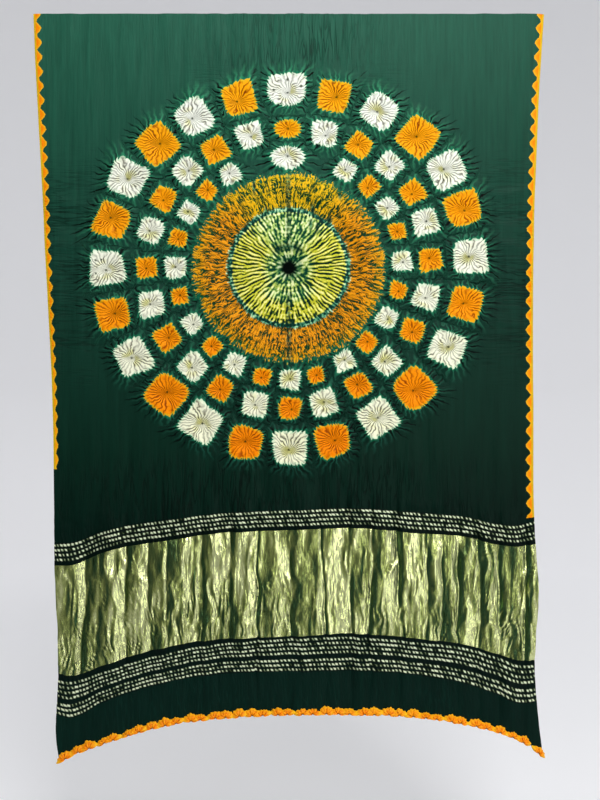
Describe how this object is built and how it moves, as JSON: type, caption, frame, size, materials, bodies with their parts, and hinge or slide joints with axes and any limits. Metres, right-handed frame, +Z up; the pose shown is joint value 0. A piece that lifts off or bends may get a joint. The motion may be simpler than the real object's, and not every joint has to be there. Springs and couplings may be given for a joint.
{
  "type": "hanging bandhani tie-dyed cloth",
  "caption": "Tie-dyed silk cloth hung by its top edge, with puckered squares ringed round a medallion, a crinkled metallic band and a puffed hem.",
  "frame": {"origin": "middle of the cloth's top edge, where it is held", "axes": "+Z up, the front with the dyed pattern faces -Y, +X to the right of someone who looks at the front"},
  "size_m": [1.12, 0.0385, 1.631],
  "materials": {
    "cloth": "satin-woven silk, dark green, resist-dyed white, yellow and orange, with a crinkled metallic tissue band"
  },
  "bodies": {
    "root": {"cloth": "cloth"}
  },
  "joints": []
}
